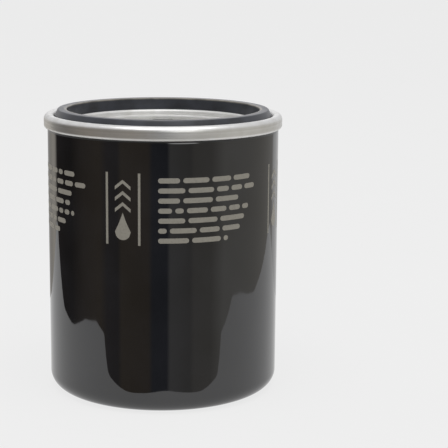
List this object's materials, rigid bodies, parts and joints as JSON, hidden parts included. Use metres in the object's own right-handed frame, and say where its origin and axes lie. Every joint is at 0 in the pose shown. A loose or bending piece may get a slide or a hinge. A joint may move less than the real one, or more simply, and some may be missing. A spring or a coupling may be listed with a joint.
{
  "type": "spin-on oil filter",
  "caption": "Spin-on engine oil filter: seamed steel can with gasket and threaded base plate, pleated element, drain-back flap and bypass valve inside.",
  "frame": {"origin": "centre of the closed end's flat ring, on the filter's axis", "axes": "+Z along the axis from the closed end to the thread end; +X through one inlet hole and the paper's side seam"},
  "size_m": [0.0763, 0.0762, 0.0906],
  "materials": {
    "gloss_black_paint": "gloss",
    "tinned_steel": "satin",
    "plate_steel": "satin",
    "lining_compound": "matte",
    "gasket_rubber": "satin",
    "diaphragm_rubber": "matte",
    "cap_steel": "satin",
    "tube_steel": "satin",
    "filter_paper": "matte",
    "potting": "satin",
    "valve_steel": "satin",
    "spring_steel": "satin"
  },
  "bodies": {
    "housing": {"housing_can": "gloss_black_paint", "seaming_lid": "tinned_steel", "seam_sealant": "lining_compound", "base_plate": "plate_steel", "sealing_gasket": "gasket_rubber", "drainback_valve": "diaphragm_rubber", "upper_end_cap": "cap_steel", "lower_end_cap": "cap_steel", "centre_tube": "tube_steel", "pleated_media": "filter_paper", "media_seam_clip": "cap_steel", "upper_potting": "potting", "lower_potting": "potting", "bypass_seat": "valve_steel", "bypass_cage": "valve_steel", "bypass_spring": "spring_steel", "support_spring": "spring_steel"},
    "bypass_valve": {"bypass_poppet": "valve_steel", "bypass_seal": "diaphragm_rubber", "bypass_stem": "valve_steel"},
    "drainback_flap": {"drainback_lip": "diaphragm_rubber"}
  },
  "joints": [
    {"name": "bypass_lift", "type": "slide", "parent": "housing", "child": "bypass_valve", "axis": [0, 0, 1], "range_m": [0, 0.003], "stiffness_N_per_m": 3500, "springref_m": -0.0098, "deforming": ["bypass_spring"]},
    {"name": "drainback_open", "type": "slide", "parent": "housing", "child": "drainback_flap", "axis": [0, 0, -1], "range_m": [0, 0.0015], "stiffness_N_per_m": 2000, "springref_m": -0.0015, "deforming": ["drainback_valve"]}
  ]
}
